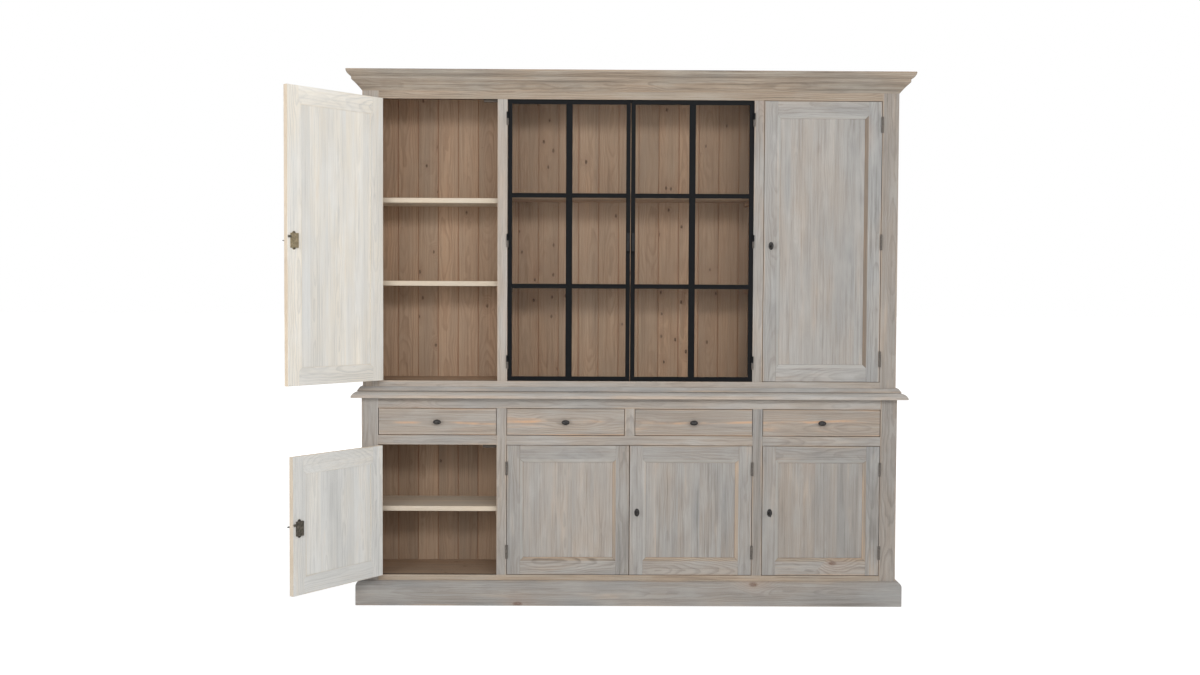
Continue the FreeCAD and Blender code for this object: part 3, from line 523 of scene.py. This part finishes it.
class Piece:
    """A mesh that grows board by board, with what the wood shader reads at each point. Its figure, how much
    the rings show, is a pair: for boards that run from side to side, and for the others."""

    def __init__(self, node, tone=0.5, warmth=0.5, figure=(0.3, 0.3)):
        self.name = node + "_dressed"
        self.node = node
        self.body = body_of_node[node]
        self.pose = closed_pose(self.body)
        self.tone, self.warmth, self.figure = tone, warmth, figure
        self.points, self.faces, self.face_finishes = [], [], []
        self.board_values = {"board_place": [], "board_figure": [], "board_tint": []}

    def take(self, mesh, finish_of):
        """Add a mesh given in the closed pose. finish_of gives a finish for a board's box and a face's
        normal."""
        mesh.normal_update()
        box = limits([vertex.co for vertex in mesh.verts])
        sizes = [high - low for low, high in box]
        axes = sorted(range(3), key=lambda axis: -sizes[axis])
        middle = [(low + high) / 2 for low, high in box]
        draw = random.Random("%.3f %.3f %.3f" % tuple(middle))
        tone = self.tone + tint_spread * (draw.random() - 0.5)
        tone -= right_end_shade * max(0.0, middle[0])
        warmth = self.warmth + tint_spread * (draw.random() - 0.5)
        seed = draw.random()
        figure = self.figure[0] if axes[0] == 0 else self.figure[1]
        figure *= least_figure + draw.random()
        start = len(self.points)
        mesh.verts.index_update()
        for vertex in mesh.verts:
            self.points.append(vertex.co.copy())
            self.board_values["board_place"] += [vertex.co[axis] - middle[axis] for axis in axes]
            self.board_values["board_figure"] += [figure, sizes[axes[1]] / 2, 0.0]
            self.board_values["board_tint"] += [tone, warmth, seed]
        for face in mesh.faces:
            self.faces.append([start + vertex.index for vertex in face.verts])
            self.face_finishes.append(finish_of(box, face.normal))
        mesh.free()

    def finish(self):
        back = self.pose.inverted()
        mesh = bpy.data.meshes.new(self.name)
        mesh.from_pydata([back @ point for point in self.points], [], self.faces)
        for label, values in self.board_values.items():
            mesh.attributes.new(label, "FLOAT_VECTOR", "POINT").data.foreach_set("vector", values)
        used = sorted(set(self.face_finishes))
        for finish in used:
            mesh.materials.append(finishes[finish])
        mesh.polygons.foreach_set("material_index", [used.index(finish) for finish in self.face_finishes])
        mesh.polygons.foreach_set("use_smooth", [True] * len(mesh.polygons))
        # Broad faces keep their own normal, so only the rounded edges look round.
        normals = [Vector() for point in self.points]
        for polygon in mesh.polygons:
            for vertex in polygon.vertices:
                normals[vertex] += polygon.normal * polygon.area
        mesh.normals_split_custom_set_from_vertices([normal.normalized() for normal in normals])
        piece = bpy.data.objects.new(self.name, mesh)
        bpy.context.scene.collection.objects.link(piece)
        main_finish = Counter(self.face_finishes).most_common(1)[0][0]
        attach(piece, self.body)
        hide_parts(self.node)


def softened(solid, pose, rounding, crease):
    """A CAD solid as a clean mesh with its edges rounded."""
    mesh = bmesh.new()
    corners = [mesh.verts.new(pose @ Vector(point)) for point in solid[0]]
    for face in solid[1]:
        mesh.faces.new([corners[index] for index in face])
    mesh.normal_update()
    bmesh.ops.dissolve_limit(mesh, angle_limit=math.radians(flat_angle), verts=mesh.verts, edges=mesh.edges)
    sharp = [edge for edge in mesh.edges if edge.calc_face_angle(0) > math.radians(crease)]
    bmesh.ops.bevel(mesh, geom=sharp, offset=rounding, segments=rounding_steps, profile=0.5,
                    affect="EDGES", clamp_overlap=True)
    return mesh


def turned(outlines):
    """A closed mesh through rings of points."""
    mesh = bmesh.new()
    rings = [[mesh.verts.new(spot) for spot in outline] for outline in outlines]
    for lower, upper in zip(rings, rings[1:]):
        for step in range(len(lower)):
            after = (step + 1) % len(lower)
            mesh.faces.new((lower[step], upper[step], upper[after], lower[after]))
    mesh.faces.new(rings[0])
    mesh.faces.new(rings[-1])
    bmesh.ops.recalc_face_normals(mesh, faces=mesh.faces)
    return mesh


def oval(x, y, z, half_width, half_height, sides):
    """Points round an upright oval that faces the front."""
    turns = [math.tau * step / sides for step in range(sides)]
    return [(x + half_width * math.cos(turn), y, z + half_height * math.sin(turn)) for turn in turns]


def dress(node, finish_of, rounding=wood_rounding, crease=wood_crease, **tints):
    """Replace a node by its own solids with softened edges."""
    piece = Piece(node, **tints)
    for solid in solids_of(node):
        piece.take(softened(solid, piece.pose, rounding, crease), finish_of)
    piece.finish()


# Which finish a face takes, by its board's box and its normal

# Limits of the normals that tell faces apart
back_limit, front_limit = 0.5, -0.3
door_front_limit, door_bevel_limit, door_edge_limit = -0.9, -0.7, -0.15
slope_limit, groove_limit, foot_limit, outward_limit = 0.2, 0.3, -0.3, 0.5


def always(finish):
    return lambda box, normal: finish


def frame_finish(box, normal):
    """Washed in front, warmer in the frieze and foot, with painted shade where it faces an opening, and bare
    behind.
    """
    if normal.y > back_limit:
        return "inside"
    if normal.y > front_limit:
        is_end = normal.x * (box[0][0] + box[0][1]) > outer_stile_sum
        # faces towards an opening take painted shade, so the gaps read dark
        return "outside" if is_end else "seam"
    # the foot rail's darker warm finish is partly painted shadow under the doors
    return "warm" if box[2][0] > frieze_bottom or box[2][1] < foot_rail_top else "outside"


def side_finish(box, normal):
    outward = normal.x * (box[0][0] + box[0][1])
    return "outside" if outward > outward_limit else "inside"


def back_finish(box, normal):
    return "groove" if abs(normal.x) > groove_limit else "inside"


def door_finish(box, normal):
    """Washed in front and whitewashed behind, with bare edges, painted shade on the bevels and worn slopes
    between them.
    """
    if normal.y > back_limit:
        return "white"
    if normal.y < door_front_limit:
        return "outside"
    if normal.y > door_edge_limit:
        return "cream" if box[0][1] < left_bay_end else "inside"
    if normal.y > door_bevel_limit:
        # steep bevels take painted shade, as dark lines along the edges and creases
        return "seam"
    is_lower = box[2][1] < base_moulding_bottom
    if normal.x < -slope_limit:
        # upper doors' slopes that face away from the light take a darker worn finish that is partly painted
        # shade
        return "peach_edge" if is_lower else "warm_edge"
    return "warm" if is_lower and normal.z > slope_limit else "pale_edge"


def moulding_finish(box, normal):
    """Washed, with painted shade along its foot, where it meets the worktop."""
    return "seam" if normal.z < foot_limit else "outside"


def shelf_finish(box, normal):
    """Pale, but brown like the back boards where the shelves are behind glass."""
    is_middle = box[0][0] > left_bay_end and box[0][1] < -left_bay_end
    return "inside" if is_middle and box[2][0] > base_moulding_bottom else "cream"


def front_finish(front, foremost, others):
    """One rule for the solids that reach a front, and one for the others."""
    def finish_of(box, normal):
        return (foremost if abs(box[1][0] - front) < touching else others)(box, normal)
    return finish_of


def drawer_front_finish(box, normal):
    return "flame" if normal.y < front_limit else "inside"


def dress_carcass():
    dress("plinth", always("outside"), tone=0.28, warmth=0.3, figure=(0.2, 0.2))
    dress("worktop", always("outside"), tone=1.05, warmth=0.45, figure=(0.2, 0.2))
    dress("base_moulding", moulding_finish, moulding_rounding, tone=0.5, warmth=0.3, figure=(0.35, 0.35))
    dress("cornice", always("warm"), tone=0.25, warmth=0.4, figure=(0.12, 0.12))
    dress("lower_face_frame", frame_finish, frame_rounding, tone=0.38, warmth=0.65, figure=(0.3, 0.5))
    dress("upper_face_frame", frame_finish, frame_rounding, tone=0.4, warmth=0.85, figure=(0.3, 0.3))
    for node in ("lower_sides", "upper_sides"):
        dress(node, side_finish, tone=0.4, warmth=0.4)
    for node in ("lower_floor", "lower_partitions", "drawer_runners",
                 "upper_decks", "upper_partitions", "shelf_cleats"):
        dress(node, always("inside"), frame_rounding, tone=0.0)
    # Door stops take the dark painted-shade finish, so they read as the shade in the bays' top corners.
    dress("door_stops", always("seam"), frame_rounding, tone=2.0)
    dress("lower_back_boards", back_finish, back_rounding, tone=-0.14, warmth=0.25, figure=(0.4, 0.4))
    dress("upper_back_boards", back_finish, back_rounding, tone=0.15, warmth=0.5, figure=(0.4, 0.4))
    dress("shelves", shelf_finish, tone=0.15, warmth=0.4)
    dress("hinge_frame_halves", always("hinge"), metal_rounding, metal_crease)


screw_profile = ((0.0036, 0.0), (0.0034, 0.0009), (0.0024, 0.0018), (0.0011, 0.0022))  # radius and rise
screw_sides = 16
screw_inset = 0.0055
ear_thickness = 0.0025


def add_screws(piece, box):
    """Round-headed screws on the two ears of a lock case."""
    middle = sum(box[0]) / 2
    seat = box[1][0] + ear_thickness
    for height in (box[2][0] + screw_inset, box[2][1] - screw_inset):
        outlines = [oval(middle, seat + rise, height, radius, radius, screw_sides)
                    for radius, rise in screw_profile]
        piece.take(turned(outlines), always("iron"))


def dress_fittings(door, case_finish):
    """Hinge halves, and the lock's case and escutcheon where the door has a lock."""
    piece = Piece(door + "_fittings")
    swing = next(joint for joint in joints if joint["child"] == door)
    pivot = Vector(swing["pos_m"])
    for solid in solids_of(piece.node):
        box = limits([piece.pose @ Vector(point) for point in solid[0]])
        finish = "hinge"
        if abs(sum(box[0]) / 2 - pivot.x) > hinge_zone:
            finish = case_finish if sum(box[1]) / 2 > pivot.y + lock_case_depth else "iron"
        piece.take(softened(solid, piece.pose, metal_rounding, metal_crease), always(finish))
        if finish == case_finish:
            add_screws(piece, box)
    piece.finish()


def dress_wooden_door(name, case_finish, tone, warmth):
    dress(name + "_frame", door_finish, frame_rounding, tone=tone, warmth=warmth, figure=(0.6, 0.35))
    dress(name + "_panel", door_finish, frame_rounding, tone=tone, warmth=warmth, figure=(0.1, 0.1))
    dress_fittings(name, case_finish)
    if name + "_key" in nodes:
        dress(name + "_key", always("iron"), lock_rounding, metal_crease)
        dress(name + "_bolt", always("steel"), lock_rounding)


def dress_doors():
    """The tones of the two left doors are those of their white backs, which the photo shows."""
    dress_wooden_door("upper_left_door", "brass", 0.82, 0.7)
    dress_wooden_door("upper_right_door", "brass", 0.84, 0.25)
    dress_wooden_door("lower_door_1", "steel", 0.68, 0.2)
    dress_wooden_door("lower_door_2", "steel", 0.38, 0.5)
    dress_wooden_door("lower_door_3", "steel", 0.42, 0.42)
    dress_wooden_door("lower_door_4", "steel", 0.42, 0.45)
    for name in ("glass_door_left", "glass_door_right"):
        steel_frame = name + "_frame"
        steel_finish = front_finish(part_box(steel_frame)[0].y, always("pull"), always("black"))
        dress(steel_frame, steel_finish, metal_rounding, metal_crease)
        dress(name + "_panes", always("glass"), pane_rounding)


knob_profile = (  # shares of the knob's reach and of its half width and height
    (0.0, 0.42), (0.10, 0.38), (0.24, 0.33), (0.38, 0.36), (0.48, 0.56), (0.57, 0.84),
    (0.66, 0.99), (0.74, 0.98), (0.84, 0.89), (0.93, 0.72), (0.98, 0.5), (1.0, 0.22))
knob_sides = 40
knob_height_share = 0.88


def dress_knob(node):
    """A smooth oval knob between the sections of the CAD one."""
    low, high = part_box(node)
    middle = (low + high) / 2
    half = (high - low) / 2
    half_height = half.z * knob_height_share
    outlines = [oval(middle.x, high.y - (high.y - low.y) * out, middle.z, half.x * size, half_height * size,
                     knob_sides) for out, size in knob_profile]
    piece = Piece(node)
    piece.take(turned(outlines), always("iron"))
    piece.finish()


def dress_drawers():
    for number, tone in enumerate((0.49, 0.40, 0.31, 0.22), start=1):
        name = "drawer_%d" % number
        finish_of = front_finish(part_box(name)[0].y, drawer_front_finish, always("cream"))
        dress(name, finish_of, drawer_rounding, tone=tone, warmth=0.8, figure=(0.38, 0.38))
        dress_knob(name + "_knob")


dress_carcass()
dress_doors()
dress_drawers()


# Floor, light and camera

floor_reach = 60.0
floor_colour = (0.8, 0.8, 0.8, 1.0)
shadow_colour = (0.4, 0.4, 0.4, 1.0)
glow_reach, glow_strength = (1.0, 4.0), (0.8, 1.0)
world_strength = 0.39
lamp_target = (0, 0, 1.1)
lamps = (  # name, place, size and power
    ("key", (0.5, -5.6, 3.4), (3.4, 0.9), 95.0),
    ("left", (-3.4, -5.2, 2.0), (3.0, 2.4), 85.0),
    ("right", (3.6, -5.2, 2.0), (3.0, 2.4), 55.0),
    ("side", (5.6, 1.6, 2.4), (3.0, 2.6), 95.0),
    ("back", (-2.0, 6.4, 3.2), (4.0, 2.6), 170.0))
camera_place = (-0.1710, -5.7632, 1.3433)
camera_pitch, camera_yaw, camera_roll = -2.109, 0.447, -0.274  # in degrees
camera_lens, camera_sensor = 39.772, 36.0  # in millimetres
camera_far = 200.0


def make_floor():
    """A pale floor that fades to white away from the hutch and keeps its shadow."""
    mesh = bpy.data.meshes.new("floor")
    corners = [(x * floor_reach, y * floor_reach, 0) for x, y in ((-1, -1), (1, -1), (1, 1), (-1, 1))]
    mesh.from_pydata(corners, [], [(0, 1, 2, 3)])
    s = Shader("pale_floor")
    seen = s.add("LightPath").outputs["Is Camera Ray"]
    away = s.add("VectorMath", {"operation": "LENGTH"}, {0: s.object_place()}).outputs["Value"]
    plain = s.add("BsdfDiffuse", None, {"Color": floor_colour}).outputs[0]
    soft = s.add("BsdfDiffuse", None, {"Color": shadow_colour}).outputs[0]
    glow = s.add("Emission", None, {"Strength": s.ease(away, *glow_reach, *glow_strength)}).outputs[0]
    bright = s.add("AddShader", None, {0: soft, 1: glow}).outputs[0]
    s.show(s.add("MixShader", None, {0: seen, 1: plain, 2: bright}).outputs[0])
    mesh.materials.append(s.material)
    floor = bpy.data.objects.new("floor", mesh)
    bpy.context.scene.collection.objects.link(floor)


def make_world():
    """Soft light all round, white wherever the camera, a reflection or a pane sees it."""
    world = bpy.data.worlds.new("studio")
    world.use_nodes = True
    tree = world.node_tree
    path = tree.nodes.new("ShaderNodeLightPath")
    seen = path.outputs["Is Camera Ray"]
    for other in ("Is Glossy Ray", "Is Transmission Ray"):
        either = tree.nodes.new("ShaderNodeMath")
        either.operation = "MAXIMUM"
        tree.links.new(seen, either.inputs[0])
        tree.links.new(path.outputs[other], either.inputs[1])
        seen = either.outputs[0]
    level = tree.nodes.new("ShaderNodeMapRange")
    level.inputs["To Min"].default_value = world_strength
    level.inputs["To Max"].default_value = 1.0
    tree.links.new(seen, level.inputs["Value"])
    background = tree.nodes["Background"]
    background.inputs["Color"].default_value = (1.0, 1.0, 1.0, 1.0)
    tree.links.new(level.outputs[0], background.inputs["Strength"])
    bpy.context.scene.world = world


def make_lamp(name, place, size, power):
    lamp = bpy.data.lights.new(name, "AREA")
    lamp.shape = "RECTANGLE"
    lamp.size, lamp.size_y = size
    lamp.energy = power
    holder = bpy.data.objects.new(name, lamp)
    holder.location = place
    holder.rotation_euler = (Vector(lamp_target) - Vector(place)).to_track_quat("-Z", "Y").to_euler()
    bpy.context.scene.collection.objects.link(holder)


def make_camera():
    """A camera where the photograph was taken from."""
    pitch, yaw, roll = (math.radians(angle) for angle in (camera_pitch, camera_yaw, camera_roll))
    ahead = Vector((math.sin(yaw) * math.cos(pitch), math.cos(yaw) * math.cos(pitch), math.sin(pitch)))
    level = Vector((math.cos(yaw), -math.sin(yaw), 0))
    upward = level.cross(ahead)
    right = level * math.cos(roll) - upward * math.sin(roll)
    top = level * math.sin(roll) + upward * math.cos(roll)
    camera = bpy.data.cameras.new("camera")
    camera.sensor_width = camera_sensor
    camera.lens = camera_lens
    camera.clip_end = camera_far
    holder = bpy.data.objects.new("camera", camera)
    turn = Matrix((right, top, -ahead)).transposed().to_4x4()
    holder.matrix_world = Matrix.Translation(camera_place) @ turn
    bpy.context.scene.collection.objects.link(holder)
    bpy.context.scene.camera = holder


make_floor()
make_world()
for lamp_facts in lamps:
    make_lamp(*lamp_facts)
make_camera()
bpy.context.scene.view_settings.view_transform = "Standard"
